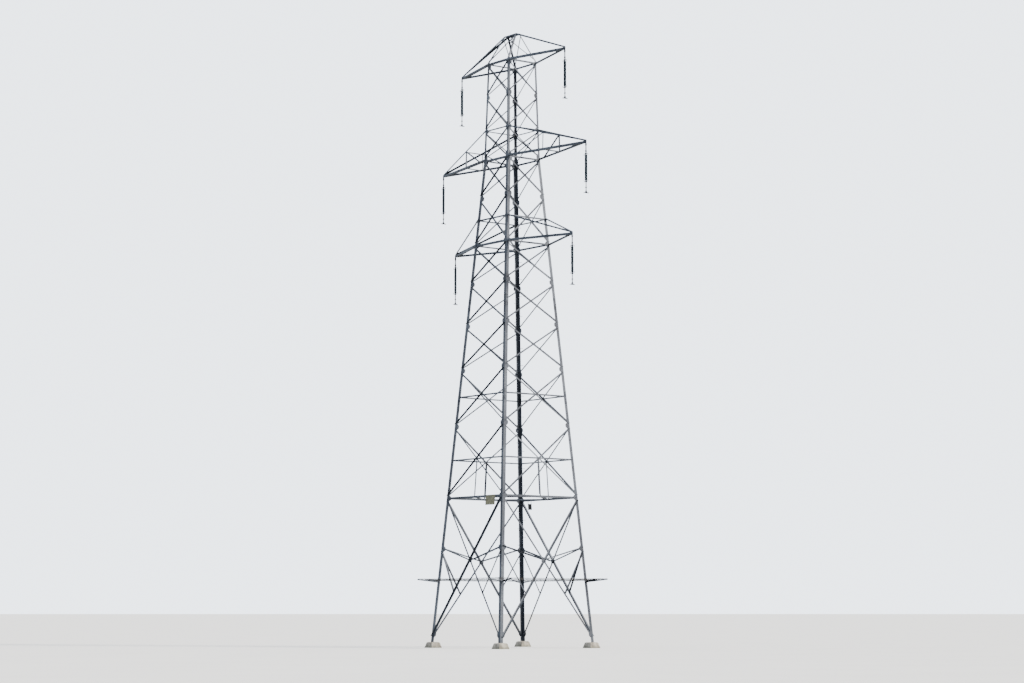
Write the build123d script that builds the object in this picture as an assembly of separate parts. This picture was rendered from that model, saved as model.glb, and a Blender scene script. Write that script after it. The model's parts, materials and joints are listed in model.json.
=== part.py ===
from build123d import *
import math
import os

os.makedirs("parts", exist_ok=True)

# Double-circuit lattice transmission tower, all sizes in millimetres.
# X runs along the crossarms, Y along the line, Z up from the ground at the tower's middle.

# Heights of the panels, from the ground up
base_height = 6440
panel_heights = (3110, 2450, 1950, 1850, 1700, 2100, 1700)
cage_heights = (1300, 1520, 1480)
peak_height = 1300

# Half widths of the square body, outside to outside of the leg angles
waist_half = 875
cage_half = 763
leg_batter = 0.0775
ridge_half = 415
ridge_gap = 105

# Leg angles: width and thickness of their flanges
leg_width = 150
leg_thickness = 10
cage_leg_width = 100
cage_leg_thickness = 10
peak_leg_width = 70
peak_leg_thickness = 8
peak_brace_width = 45
peak_brace_thickness = 5
peak_brace_offset = 110
cage_leg_rise = 60

# Bracing angles
base_brace_width = 80
brace_width = 60
cage_brace_width = 50
brace_thickness = 6
ring_width = 60
base_ring_width = 90
arm_ring_width = 90
arm_side_ring_width = 65

# How a brace meets a leg: distances from the leg's heel and from the panel point
brace_inset = 42
cope_clearance = 8
node_offset = 95
packing_side = 70

# Base panel
muff_height = 250
muff_top_side = 420
muff_bottom_side = 560
brace_foot_height = 480
base_brace_inset = 62
mid_leg_height = 4250
redundant_share = 0.57
crossing_plate_width = 240
crossing_plate_height = 150
strut_setback = 90
strut_drop = 40

# Crossarms: half spans, from the middle of the tower to the pins of the hanging sets
top_span = 3765
middle_span = 5190
bottom_span = 4240
tip_overhang = 45
lower_chord_width = 100
lower_chord_thickness = 8
chord_width = 70
chord_thickness = 7
ridge_strap_thickness = 10
arm_brace_width = 50
arm_brace_thickness = 5
arm_node_share = 0.45
arm_foot_share = 0.11
tip_plate_length = 420
tip_plate_thickness = 16
tip_plate_drop = 50
tip_rise = 45
lug_radius = 38
lug_chamfer = 22
hanger_drop = 97

# Hanging sets: pins, link, insulator and suspension clamp, their round bars of few sides
round_sides = 8
pin_diameter = 22
pin_clearance = 0.3
cheek_gap = 6
cheek_thickness = 12
cheek_width = 56
fork_depth = 62
link_length = 290
eye_thickness = 16
cap_length = 100
cap_diameter = 62
shed_count = 8
shed_diameter = 130
core_diameter = 46
shed_thickness = 22
insulator_length = 1100
horn_reach = 150
horn_thickness = 12
lower_link_length = 375
lower_link_width = 46
collar_drop = 200
collar_side = 58
collar_height = 50
clamp_length = 260
clamp_width = 56
clamp_height = 70
conductor_diameter = 20

# Anti-climbing guard
guard_height = 2850
guard_reach = 620
guard_rise = 110
guard_brace_width = 50
guard_brace_thickness = 5
guard_collar_thickness = 12
guard_wire_count = 5
guard_wire_pitch = 115
guard_wire_diameter = 8

# Plates hung below the ring over the base
plate_thickness = 3
large_plate_width = 670
large_plate_height = 430
large_plate_edge = 535
small_plate_width = 280
small_plate_height = 270
small_plate_edge = 495
small_plate_drop = 105
plate_strap_width = 30

# Earth-wire clamp under the ridge
ridge_lug_drop = 130
earth_clamp_length = 180
earth_clamp_drop = 190
earth_clamp_width = 44
earth_wire_diameter = 14

# Panel points worked out from the sizes above
levels = [base_height]
for panel_height in panel_heights:
    levels.append(levels[-1] + panel_height)
waist_height = levels[-1]
cage_levels = [waist_height]
for panel_height in cage_heights:
    cage_levels.append(cage_levels[-1] + panel_height)
top_arm_height = cage_levels[-1]
cage_top = top_arm_height + cage_leg_rise
ridge_height = top_arm_height + peak_height
cage_batter = (waist_half - cage_half) / (top_arm_height - waist_height)
bottom_arm_height = levels[5]

# Heights down a hanging insulator from its pin
cap_top = -fork_depth - cheek_thickness
core_top = cap_top - cap_length
core_bottom = core_top - insulator_length
foot_bottom = core_bottom - cap_length
boat_middle = foot_bottom - lower_link_length - clamp_height / 2


def body_half(height):
    """Half width of the body at a height, to the outside of the legs."""
    if height <= waist_height:
        return waist_half + (waist_height - height) * leg_batter
    return waist_half - (height - waist_height) * cage_batter


def crossing_height(low, high):
    """Height at which the two diagonals of a panel cross."""
    return low + (high - low) * body_half(low) / (body_half(low) + body_half(high))


class Face:
    """The front face of the body, seen from outside: across to the right, up the slope."""

    def __init__(self, batter, leg_depth):
        slope = math.hypot(1, batter)
        self.normal = Vector(0, -1, batter) / slope
        self.leg_depth = leg_depth

    def point(self, across, height):
        return Vector(across, -body_half(height), height)

    def brace(self, start, end, width, thickness, inner, cope=0, turn=1):
        """An angle bar on the face between two (across, height) points.

        An inner bar lies against the inside of the leg flanges and its standing flange
        points inwards; an outer bar lies outside them and points outwards. The standing
        flange stops short of each end by the cope.
        """
        first = self.point(*start)
        along = self.point(*end) - first
        length = along.length
        shift = self.normal * (-self.leg_depth if inner else 0)
        frame = Plane(origin=first + shift, x_dir=self.normal.cross(along), z_dir=along)
        way = -1 if inner else 1
        flat = Location((0, way * thickness / 2, length / 2))
        bar = frame * flat * Box(width, thickness, length)
        edge = turn * (width - thickness) / 2
        stand = Location((edge, way * width / 2, length / 2))
        return bar + frame * stand * Box(thickness, width, length - 2 * cope)

    def plate(self, across, height, width, tall, low, high):
        """A plate on the face, from one depth to another along the outward normal."""
        frame = Plane(origin=self.point(across, height), x_dir=Vector(1, 0, 0), z_dir=self.normal)
        return frame * Location((0, 0, (low + high) / 2)) * Box(width, tall, high - low)


lower_face = Face(leg_batter, leg_thickness)
cage_face = Face(cage_batter, cage_leg_thickness)

face_turns = {"front": 0, "right": 90, "rear": 180, "left": 270}
outer_turns = {"front": 1, "right": -1, "rear": 1, "left": -1}
ringed_panels = (0, 1, 5)
corners = {
    "front_left": (-1, -1),
    "front_right": (1, -1),
    "rear_right": (1, 1),
    "rear_left": (-1, 1),
}


def write(solid, name):
    """Write one node, with its name on it."""
    solid.label = name
    export_step(solid, "parts/" + name + ".step")


def joined(pieces):
    """Fuse a list of shapes into one."""
    whole = pieces[0]
    for piece in pieces[1:]:
        whole = whole + piece
    return whole


def group(pieces, place=Location()):
    """Keep shapes that don't touch together as one compound, moved to its place."""
    solids = []
    for piece in pieces:
        solids.extend((place * piece).solids())
    return Compound(solids)


def corner_leg(corner, bottom, top, width, thickness, bottom_half, lean):
    """A leg angle with level ends, its heel on the body's corner, leaning inwards."""
    side_x, side_y = corner
    flanges = [(0, 0), (width, 0), (width, thickness), (thickness, thickness),
               (thickness, width), (0, width)]
    outline = [(side_x * (bottom_half - a), side_y * (bottom_half - b)) for a, b in flanges]
    profile = Plane.XY.offset(bottom) * make_face(Polyline(*outline, close=True))
    run_x, run_y = lean
    way = Vector(-side_x * run_x, -side_y * run_y, top - bottom)
    return extrude(profile, amount=way.length, dir=way.normalized())


def make_legs():
    """The four main legs, the cage legs above the waist and the concrete under them."""
    cage_legs = []
    muffs = []
    for name, corner in corners.items():
        foot_half = body_half(muff_height)
        lean = foot_half - waist_half
        plan_thickness = leg_thickness * math.hypot(1, leg_batter)
        leg = corner_leg(corner, muff_height, waist_height, leg_width, plan_thickness,
                         foot_half, (lean, lean))
        write(leg, "leg_" + name)

        plan_thickness = cage_leg_thickness * math.hypot(1, cage_batter)
        lean = waist_half - body_half(cage_top)
        cage_legs.append(corner_leg(corner, waist_height, cage_top, cage_leg_width,
                                    plan_thickness, waist_half, (lean, lean)))

        centre = foot_half - leg_width / 2
        base = Rectangle(muff_bottom_side, muff_bottom_side)
        slope = math.degrees(math.atan((muff_bottom_side - muff_top_side) / 2 / muff_height))
        place = Pos(corner[0] * centre, corner[1] * centre, 0)
        muffs.append(place * extrude(base, amount=muff_height, taper=slope))
    write(group(cage_legs), "cage_legs")
    write(group(muffs), "concrete_feet")


def cross_panel(face, low, high, width, turn):
    """One panel's two diagonals, one each side of the leg flanges, bolted at a packing."""
    foot = low + node_offset
    head = high - node_offset
    across_low = body_half(foot) - brace_inset
    across_high = body_half(head) - brace_inset
    cope = face.leg_depth + brace_thickness + cope_clearance + width
    rising = face.brace((-across_low, foot), (across_high, head), width, brace_thickness,
                        inner=False, turn=turn)
    falling = face.brace((-across_high, head), (across_low, foot), width, brace_thickness,
                         inner=True, cope=cope, turn=-turn)
    middle = foot + (head - foot) * across_low / (across_low + across_high)
    packing = face.plate(0, middle, packing_side, packing_side, -face.leg_depth, 0)
    return joined([rising, packing, falling]), middle


def ring_bar(face, height, width):
    """One side of a level ring, inside the leg flanges."""
    across = body_half(height) - brace_inset
    cope = face.leg_depth + brace_thickness + cope_clearance + width
    return face.brace((-across, height), (across, height), width, brace_thickness,
                      inner=True, cope=cope, turn=-1)


def body_side(turn):
    """The bracing of one side of the body, below and above the waist.

    On the front and rear the outer bars stand on their upper edges, on the other two
    sides on their lower ones, so that the bars of neighbouring sides clear each other.
    The front and rear rings at the arms are wider, because they tie the arms together.
    """
    tie_width = arm_ring_width if turn > 0 else arm_side_ring_width
    panels = []
    for index, (low, high) in enumerate(zip(levels[:-1], levels[1:])):
        panel, middle = cross_panel(lower_face, low, high, brace_width, turn)
        if index in ringed_panels:
            panel = joined([panel, ring_bar(lower_face, middle, ring_width)])
        if index == 0:
            hanger = lower_face.brace((0, low), (0, middle), brace_width, brace_thickness,
                                      inner=True, cope=base_ring_width)
            panel = joined([panel, hanger, ring_bar(lower_face, low, base_ring_width)])
        if high == waist_height:
            panel = joined([panel, ring_bar(lower_face, high - tie_width / 2, tie_width)])
        panels.append(panel)
    panels.append(ring_bar(lower_face, bottom_arm_height, tie_width))
    for low, high in zip(cage_levels[:-1], cage_levels[1:]):
        panels.append(cross_panel(cage_face, low, high, cage_brace_width, turn)[0])
    panels.append(ring_bar(cage_face, cage_levels[1], cage_brace_width))
    panels.append(ring_bar(cage_face, top_arm_height, tie_width))
    return panels


def make_body_bracing():
    """Crossed panels and rings on the four sides of the body."""
    for turn in (1, -1):
        side = body_side(turn)
        for name, quarter in face_turns.items():
            if outer_turns[name] == turn:
                write(group(side, Rot(0, 0, quarter)), "bracing_" + name)


def base_side(turn):
    """One side of the tall open panel between the feet: long diagonals and short bars."""
    foot = brace_foot_height
    head = base_height - node_offset
    across_foot = body_half(foot) - base_brace_inset
    across_head = body_half(head) - base_brace_inset
    cope = leg_thickness + brace_thickness + cope_clearance + base_brace_width
    rising = lower_face.brace((-across_foot, foot), (across_head, head), base_brace_width,
                              brace_thickness, inner=False, turn=turn)
    falling = lower_face.brace((-across_head, head), (across_foot, foot), base_brace_width,
                               brace_thickness, inner=True, cope=cope, turn=-turn)
    middle = foot + (head - foot) * across_foot / (across_foot + across_head)
    crossing_plate = lower_face.plate(0, middle, crossing_plate_width, crossing_plate_height,
                                      -leg_thickness, 0)
    rising = joined([rising, crossing_plate])

    across_mid = body_half(mid_leg_height) - brace_inset
    strut_start = mid_leg_height + node_offset / 2
    strut_end = middle + strut_drop
    red_start = mid_leg_height - node_offset
    red_across = across_foot * (1 - redundant_share)
    red_height = foot + (middle - foot) * redundant_share
    cope = leg_thickness + brace_thickness + cope_clearance + brace_width
    struts = []
    for side in (-1, 1):
        inner_strut = side > 0
        struts.append(lower_face.brace(
            (side * across_mid, strut_start), (side * strut_setback, strut_end), brace_width,
            brace_thickness, inner=inner_strut, cope=cope if inner_strut else 0))
        redundant = lower_face.brace(
            (side * across_mid, red_start), (side * red_across, red_height), brace_width,
            brace_thickness, inner=not inner_strut, cope=0 if inner_strut else cope)
        packing = lower_face.plate(side * red_across, red_height, packing_side, packing_side,
                                   -leg_thickness, 0)
        struts.append(joined([redundant, packing]))
    return rising, falling, struts


def make_base_bracing():
    """The tall open panel between the feet: two long diagonals, struts and redundants."""
    outer = []
    inner = []
    short = []
    for turn in (1, -1):
        rising, falling, struts = base_side(turn)
        for name, quarter in face_turns.items():
            if outer_turns[name] == turn:
                place = Rot(0, 0, quarter)
                outer.append(place * rising)
                inner.append(place * falling)
                short.extend(place * strut for strut in struts)
    write(group(inner), "base_diagonals_inner")
    write(group(outer), "base_diagonals_outer")
    write(group(short), "base_struts")


def free_angle(start, end, normal, width, thickness, turn, way=-1):
    """An angle bar from start to end: its flat flange faces the normal."""
    along = end - start
    frame = Plane(origin=start, x_dir=normal.cross(along), z_dir=along)
    outline = [(-width / 2, 0), (width / 2, 0), (width / 2, way * thickness),
               (thickness - width / 2, way * thickness), (thickness - width / 2, way * width),
               (-width / 2, way * width)]
    outline = [(-turn * a, b) for a, b in outline]
    return extrude(frame * make_face(Polyline(*outline, close=True)), amount=along.length,
                   dir=along.normalized())


def body_envelope():
    """Everything between the left and right faces of the body: arms are cut back to it."""
    heights = (levels[0], waist_height, cage_top)
    right = [(body_half(height), height) for height in heights]
    left = [(-across, height) for across, height in reversed(right)]
    profile = Plane.XZ * make_face(Polyline(*right, *left, close=True))
    return extrude(profile, amount=body_half(0), both=True)


def side_normal(root, tip):
    """Outward level normal of an arm's front side, seen in plan."""
    run = Vector(tip.X - root.X, tip.Y - root.Y, 0).normalized()
    return Vector(run.Y, -run.X, 0)


def pin_hole(length):
    """The hole for a pin along Z, its flats facing the pin's edges at their clearance."""
    reach = (pin_diameter / 2 + pin_clearance) / math.cos(math.pi / round_sides)
    return Rot(0, 0, 180 / round_sides) * prism(reach, length / 2, -length / 2)


def hanging_lug(neck):
    """A plate lug round a pin hole at the origin, its lower corners cut off, its neck going up."""
    cut = lug_radius - lug_chamfer
    outline = [(-lug_radius, neck), (-lug_radius, -cut), (-cut, -lug_radius),
               (cut, -lug_radius), (lug_radius, -cut), (lug_radius, neck)]
    lug = extrude(Plane.XZ * make_face(Polyline(*outline, close=True)),
                  amount=tip_plate_thickness / 2, both=True)
    return lug - Rot(90, 0, 0) * pin_hole(2 * tip_plate_thickness)


def arm_tip(span, height):
    """The plate at an arm's tip, with the lug that the insulator string hangs from."""
    plate_middle = span + tip_overhang - tip_plate_length / 2
    plate = Pos(plate_middle, 0, height + (tip_rise - tip_plate_drop) / 2) * Box(
        tip_plate_length, tip_plate_thickness, tip_rise + tip_plate_drop)
    lug_middle = Pos(span, 0, height - hanger_drop)
    return plate + lug_middle * hanging_lug(hanger_drop - tip_plate_drop)


def lower_chord(span, low):
    """The front lower chord of an arm: its root on the leg, its side's normal and the bar."""
    tip = Vector(span + tip_overhang, 0, low)
    root = Vector(body_half(low), -body_half(low), low)
    back = root - (tip - root).normalized() * lower_chord_width
    normal = side_normal(root, tip)
    bar = free_angle(back, tip, normal, lower_chord_width, lower_chord_thickness, -1)
    return root, normal, bar


def wedge(apex, root_across, root_along, low, high):
    """The space between an arm's two sides, which meet at the apex of the arm."""
    reach = root_along * apex / (apex - root_across)
    plan = make_face(Polyline((0, -reach), (apex, 0), (0, reach), close=True))
    return extrude(Plane.XY.offset(low) * plan, amount=high - low)


def trimmed(arm, span, low, high, envelope):
    """An arm cut back to the body's side and to where its two sides meet at the tip."""
    half = body_half(low)
    inside = wedge(span + tip_overhang, half, half, low - lower_chord_width,
                   high + lower_chord_width)
    return (arm & inside) - envelope


def arm_frame(span, low, high):
    """The bracing at the middle of a long arm: a frame of ties and posts, held by two braces."""
    root, normal, chord = lower_chord(span, low)
    tip_low = Vector(span + tip_overhang, 0, low)
    tip_high = Vector(span + tip_overhang, 0, low + tip_rise)
    root_high = Vector(body_half(high), -body_half(high), high)
    high_normal = side_normal(root_high, tip_high)
    node = root_high + (tip_high - root_high) * arm_node_share - high_normal * chord_thickness
    share = (node.X - root.X) / (tip_low.X - root.X)
    low_node = root + (tip_low - root) * share - normal * lower_chord_thickness
    foot = root + (tip_low - root) * arm_foot_share - normal * lower_chord_thickness
    bars = []
    for start in (foot, low_node):
        bar = free_angle(start, node, high_normal, arm_brace_width, arm_brace_thickness, 1)
        bars.extend([bar, mirror(bar, Plane.XZ)])
    tie_end = Vector(node.X, -node.Y, node.Z)
    bars.append(free_angle(node, tie_end, Vector(0, 0, 1), arm_brace_width,
                           arm_brace_thickness, 1))
    lift = Vector(0, 0, lower_chord_thickness - lower_chord_width / 2)
    low_tie_end = Vector(low_node.X, -low_node.Y, low_node.Z)
    bars.append(free_angle(low_node + lift, low_tie_end + lift, Vector(0, 0, -1),
                           arm_brace_width, arm_brace_thickness, 1))
    return bars


def make_arm(span, low, high, framed, envelope):
    """A right-hand crossarm on the body: two lower and two upper chords that meet at the tip."""
    tip = Vector(span + tip_overhang, 0, low + tip_rise)
    root = Vector(body_half(high), -body_half(high), high)
    back = root - (tip - root).normalized() * chord_width
    upper = free_angle(back, tip, side_normal(root, tip), chord_width, chord_thickness, 1)
    lower = lower_chord(span, low)[2]
    bars = [lower, mirror(lower, Plane.XZ), upper, mirror(upper, Plane.XZ)]
    if framed:
        bars.extend(arm_frame(span, low, high))
    return trimmed(joined(bars), span, low, high, envelope) + arm_tip(span, low)


def make_top_arm(envelope):
    """The top right-hand crossarm: its two upper chords run down from the ridge's end."""
    low = top_arm_height
    lower = lower_chord(top_span, low)[2]
    arm = trimmed(joined([lower, mirror(lower, Plane.XZ)]), top_span, low, low, envelope)
    apex = top_span + tip_overhang
    root = Vector(ridge_half, -ridge_gap, ridge_height - chord_width / 2)
    tip = Vector(apex, 0, low + tip_rise)
    back = root - (tip - root).normalized() * chord_width
    upper = free_angle(back, tip, side_normal(root, tip), chord_width, chord_thickness, 1)
    pair = joined([upper, mirror(upper, Plane.XZ)])
    inside = wedge(apex, ridge_half, ridge_gap, low, ridge_height + chord_width)
    stop = Pos(0, 0, ridge_height) * Box(2 * ridge_half + chord_width, 4 * ridge_gap,
                                         4 * chord_width)
    return arm + ((pair & inside) - stop) + arm_tip(top_span, low)


def make_arms():
    """Three crossarms a side."""
    envelope = body_envelope()
    middle_high = cage_levels[1]
    bottom_high = crossing_height(levels[5], levels[6])
    arms = {
        "top": make_top_arm(envelope),
        "middle": make_arm(middle_span, waist_height, middle_high, True, envelope),
        "bottom": make_arm(bottom_span, bottom_arm_height, bottom_high, False, envelope),
    }
    for name, arm in arms.items():
        write(arm, "crossarm_" + name + "_right")
        write(mirror(arm, Plane.YZ), "crossarm_" + name + "_left")


def make_peak_bracing():
    """The two crossed bars on the front of the peak, from each leg's foot to the far ridge end."""
    half = body_half(cage_top)
    rise = ridge_height - cage_top
    close = half - ridge_gap
    normal = Vector(0, -rise, close).normalized()
    climb = peak_brace_offset / rise
    bars = []
    for side, way in ((1, -1), (-1, 1)):
        foot_across = half + (ridge_half - half) * climb - brace_inset
        head_across = ridge_half + (half - ridge_half) * climb - brace_inset
        foot = Vector(-side * foot_across, close * climb - half, cage_top + rise * climb)
        head = Vector(side * head_across, -ridge_gap - close * climb,
                      ridge_height - rise * climb)
        bars.append(free_angle(foot, head, normal, peak_brace_width, peak_brace_thickness,
                               side, way))
    return bars


def make_ridge():
    """The ridge: an angle on the front, another on the rear, straps between and a lug."""
    length = 2 * ridge_half + chord_width
    start = Vector(-length / 2, -ridge_gap, ridge_height - chord_width / 2)
    end = Vector(length / 2, -ridge_gap, ridge_height - chord_width / 2)
    front = free_angle(start, end, Vector(0, -1, 0), chord_width, chord_thickness, 1)
    strap_height = ridge_height - chord_thickness - ridge_strap_thickness / 2
    pieces = [front, mirror(front, Plane.XZ)]
    for along in (-ridge_half, 0, ridge_half):
        pieces.append(Pos(along, 0, strap_height) * Box(
            chord_width, 2 * (ridge_gap - chord_thickness), ridge_strap_thickness))
    neck = ridge_lug_drop - chord_thickness - ridge_strap_thickness
    pieces.append(Pos(0, 0, ridge_height - ridge_lug_drop) * hanging_lug(neck))
    return pieces


def make_peak():
    """The four small legs that close in to the ridge, their bracing and the ridge itself."""
    half = body_half(cage_top)
    lean = (half - ridge_half, half - ridge_gap)
    legs = []
    for corner in corners.values():
        legs.append(corner_leg(corner, cage_top, ridge_height, peak_leg_width,
                               peak_leg_thickness, half, lean))
    bracing = joined(make_peak_bracing())
    write(joined(legs + make_ridge() + [bracing, Rot(0, 0, 180) * bracing]), "peak")


def prism(radius, top, bottom):
    """An upright bar of few sides between two heights."""
    profile = Plane.XY.offset(bottom) * RegularPolygon(radius, round_sides)
    return extrude(profile, amount=top - bottom)


def fork(width, depth, gap_width):
    """A fork hung on a pin at the origin: two cheeks, their crosspiece and the pin along Y."""
    outer = gap_width + 2 * (cheek_gap + cheek_thickness)
    pieces = [Pos(0, 0, -depth - cheek_thickness / 2) * Box(width, outer, cheek_thickness),
              Rot(90, 0, 0) * prism(pin_diameter / 2, (outer + cheek_thickness) / 2,
                                    -(outer + cheek_thickness) / 2)]
    for way in (-1, 1):
        across = way * (outer - cheek_thickness) / 2
        pieces.append(Pos(0, across, (width / 2 - depth) / 2) * Box(
            width, cheek_thickness, width / 2 + depth))
    return joined(pieces)


def make_link():
    """Upper link: a fork over the arm's lug, and an eye turned a quarter below it."""
    top = -fork_depth - cheek_thickness
    bottom = -link_length - cheek_width / 2
    eye = Pos(0, 0, (top + bottom) / 2) * Box(eye_thickness, cheek_width, top - bottom)
    hole = Pos(0, 0, -link_length) * Rot(0, 90, 0) * pin_hole(2 * eye_thickness)
    return fork(cheek_width, fork_depth, tip_plate_thickness) + eye - hole


def make_insulator():
    """The insulator itself: a core with sheds, hung below a pin at the origin."""
    pitch = insulator_length / shed_count
    pieces = [prism(core_diameter / 2, core_top, core_bottom)]
    side_step = (shed_diameter - core_diameter) / 2 * math.cos(math.pi / round_sides)
    slope = math.degrees(math.atan(side_step / shed_thickness))
    for index in range(shed_count):
        shed_bottom = core_top - (index + 0.5) * pitch - shed_thickness / 2
        rim = Plane.XY.offset(shed_bottom) * RegularPolygon(shed_diameter / 2, round_sides)
        pieces.append(extrude(rim, amount=shed_thickness, taper=slope))
    return joined(pieces)


def horn(height):
    """A bar across the string, in line with the crossarm, that flashover current jumps to."""
    return Pos(0, 0, height) * Box(2 * horn_reach, horn_thickness, horn_thickness)


def make_fittings():
    """The string's metal ends: fork and cap above, foot, link and suspension clamp below."""
    upper = joined([Rot(0, 0, 90) * fork(cheek_width, fork_depth, eye_thickness),
                    prism(cap_diameter / 2, cap_top, core_top),
                    horn((cap_top + core_top) / 2)])
    link = Pos(0, 0, foot_bottom - lower_link_length / 2) * Box(
        eye_thickness, lower_link_width, lower_link_length)
    collar = Pos(0, 0, foot_bottom - collar_drop) * Box(collar_side, collar_side, collar_height)
    half_length = clamp_length / 2
    half_height = clamp_height / 2
    corner_points = ((half_length, half_height / 3), (half_length / 2, half_height),
                     (-half_length / 2, half_height), (-half_length, half_height / 3),
                     (-half_length, -half_height / 3), (-half_length / 2, -half_height),
                     (half_length / 2, -half_height), (half_length, -half_height / 3))
    outline = [(along, boat_middle + up) for along, up in corner_points]
    boat = extrude(Plane.YZ * make_face(Polyline(*outline, close=True)),
                   amount=clamp_width / 2, both=True)
    groove = Pos(0, 0, boat_middle) * Rot(90, 0, 0) * Cylinder(
        conductor_diameter / 2, 2 * clamp_length)
    lower = joined([prism(cap_diameter / 2, core_bottom, foot_bottom), link, collar, boat,
                    horn((core_bottom + foot_bottom) / 2)]) - groove
    return group([upper, lower])


def make_hanging_sets():
    """The six insulator strings, one under each arm tip."""
    link = make_link()
    insulator = make_insulator()
    fittings = make_fittings()
    arms = {"top": (top_span, top_arm_height), "middle": (middle_span, waist_height),
            "bottom": (bottom_span, bottom_arm_height)}
    for name, (span, height) in arms.items():
        for side_name, side in (("right", 1), ("left", -1)):
            pin = Pos(side * span, 0, height - hanger_drop)
            eye = pin * Pos(0, 0, -link_length)
            write(pin * link, "link_" + name + "_" + side_name)
            write(eye * insulator, "insulator_" + name + "_" + side_name)
            write(group([fittings], eye), "string_fittings_" + name + "_" + side_name)


def make_earth_clamp():
    """The small clamp that hangs under the ridge."""
    stem_top = -fork_depth - cheek_thickness
    stem = Pos(0, 0, (stem_top - earth_clamp_drop) / 2) * Box(
        eye_thickness, earth_clamp_width, stem_top + earth_clamp_drop)
    boat = Pos(0, 0, -earth_clamp_drop) * Box(earth_clamp_width, earth_clamp_length,
                                              earth_clamp_width)
    groove = Pos(0, 0, -earth_clamp_drop) * Rot(90, 0, 0) * Cylinder(
        earth_wire_diameter / 2, 2 * earth_clamp_length)
    clamp = fork(cheek_width, fork_depth, tip_plate_thickness) + stem + boat - groove
    write(Pos(0, 0, ridge_height - ridge_lug_drop) * clamp, "earth_wire_clamp")


def make_guard():
    """The anti-climbing guard: three rising arms on each leg and rings of wire on them."""
    half = body_half(guard_height)
    reach = half + guard_reach
    inset = half - leg_width / 2
    slope = math.degrees(math.atan(leg_batter))
    base = Plane.XY.offset(guard_height - leg_width) * Rectangle(
        2 * body_half(guard_height - leg_width), 2 * body_half(guard_height - leg_width))
    body = extrude(base, amount=2 * leg_width, taper=slope)
    brackets = []
    for side_x, side_y in corners.values():
        arms = []
        for start_x, start_y, end_x, end_y in (
                (half, half, reach, reach), (inset, half, inset, reach),
                (half, inset, reach, inset)):
            start = Vector(side_x * start_x, side_y * start_y, guard_height)
            end = Vector(side_x * end_x, side_y * end_y, guard_height + guard_rise)
            along = (end - start).normalized()
            level = Vector(-along.Y, along.X, 0).normalized()
            arms.append(free_angle(start - along * guard_brace_width, end, along.cross(level),
                                   guard_brace_width, guard_brace_thickness, 1))
        collar_side = leg_width + guard_collar_thickness
        collar_middle = half - (leg_width - guard_collar_thickness) / 2
        collar = Pos(side_x * collar_middle, side_y * collar_middle,
                     guard_height - guard_brace_width / 2) * Box(
            collar_side, collar_side, guard_brace_width)
        brackets.append(joined(arms + [collar]) - body)
    write(group(brackets), "guard_brackets")
    wires = []
    for index in range(guard_wire_count):
        outer = reach - index * guard_wire_pitch
        inner = outer - guard_wire_diameter
        seat = guard_height + guard_rise * (outer - half) / guard_reach
        ring = Rectangle(2 * outer, 2 * outer) - Rectangle(2 * inner, 2 * inner)
        wires.append(extrude(Plane.XY.offset(seat) * ring, amount=guard_wire_diameter))
    write(group(wires), "guard_wires")


def make_plates():
    """Two bare plates that hang from the ring over the base."""
    ring_half = body_half(base_height)
    outer = -leg_thickness + plate_thickness
    large_middle = ring_half - large_plate_edge - large_plate_width / 2
    large_top = base_height + base_ring_width / 2
    large = lower_face.plate(large_middle, large_top - large_plate_height / 2,
                             large_plate_width, large_plate_height, -leg_thickness, outer)
    write(large, "plate_large")
    small_middle = ring_half - small_plate_edge - small_plate_width / 2
    small_top = base_height - base_ring_width / 2 - small_plate_drop
    small = lower_face.plate(small_middle, small_top - small_plate_height / 2,
                             small_plate_width, small_plate_height, -leg_thickness, outer)
    strap_height = small_plate_drop + base_ring_width + plate_strap_width
    for side in (-1, 1):
        across = small_middle + side * (small_plate_width / 2 - plate_strap_width)
        small = small + lower_face.plate(
            across, small_top + strap_height / 2 - plate_strap_width, plate_strap_width,
            strap_height, -leg_thickness, outer)
    write(Rot(0, 0, 180) * small, "plate_small")


make_legs()
make_body_bracing()
make_base_bracing()
make_arms()
make_peak()
make_hanging_sets()
make_earth_clamp()
make_guard()
make_plates()
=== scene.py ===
import json
import math

import bmesh
import bpy
from mathutils import Matrix, Vector


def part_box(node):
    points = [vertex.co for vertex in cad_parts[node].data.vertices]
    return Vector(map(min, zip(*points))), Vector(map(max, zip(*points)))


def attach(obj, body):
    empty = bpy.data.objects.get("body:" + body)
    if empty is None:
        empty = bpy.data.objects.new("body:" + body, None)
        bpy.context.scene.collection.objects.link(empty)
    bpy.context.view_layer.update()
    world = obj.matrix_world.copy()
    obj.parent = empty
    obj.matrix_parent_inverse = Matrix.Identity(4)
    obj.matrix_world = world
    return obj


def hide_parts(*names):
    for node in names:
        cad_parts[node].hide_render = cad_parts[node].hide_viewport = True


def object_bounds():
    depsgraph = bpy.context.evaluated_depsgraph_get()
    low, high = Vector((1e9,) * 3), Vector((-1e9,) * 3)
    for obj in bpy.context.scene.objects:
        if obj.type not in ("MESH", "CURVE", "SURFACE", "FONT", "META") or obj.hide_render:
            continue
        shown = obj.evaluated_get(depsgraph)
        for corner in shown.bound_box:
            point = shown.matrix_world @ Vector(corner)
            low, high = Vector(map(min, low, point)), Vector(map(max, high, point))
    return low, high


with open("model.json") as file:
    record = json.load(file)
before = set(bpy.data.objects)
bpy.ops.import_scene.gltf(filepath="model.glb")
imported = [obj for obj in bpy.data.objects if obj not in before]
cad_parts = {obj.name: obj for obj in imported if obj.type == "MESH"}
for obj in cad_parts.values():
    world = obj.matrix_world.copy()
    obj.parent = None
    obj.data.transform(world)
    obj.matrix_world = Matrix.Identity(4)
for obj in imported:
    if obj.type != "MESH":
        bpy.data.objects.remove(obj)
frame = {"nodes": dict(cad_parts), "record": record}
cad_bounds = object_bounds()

# Where the photograph was taken from: on the ground, to the front right of the tower
CAMERA_TURN = math.radians(52.97)
CAMERA_DISTANCE = 104.8
CAMERA_HEIGHT = 1.55
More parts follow.
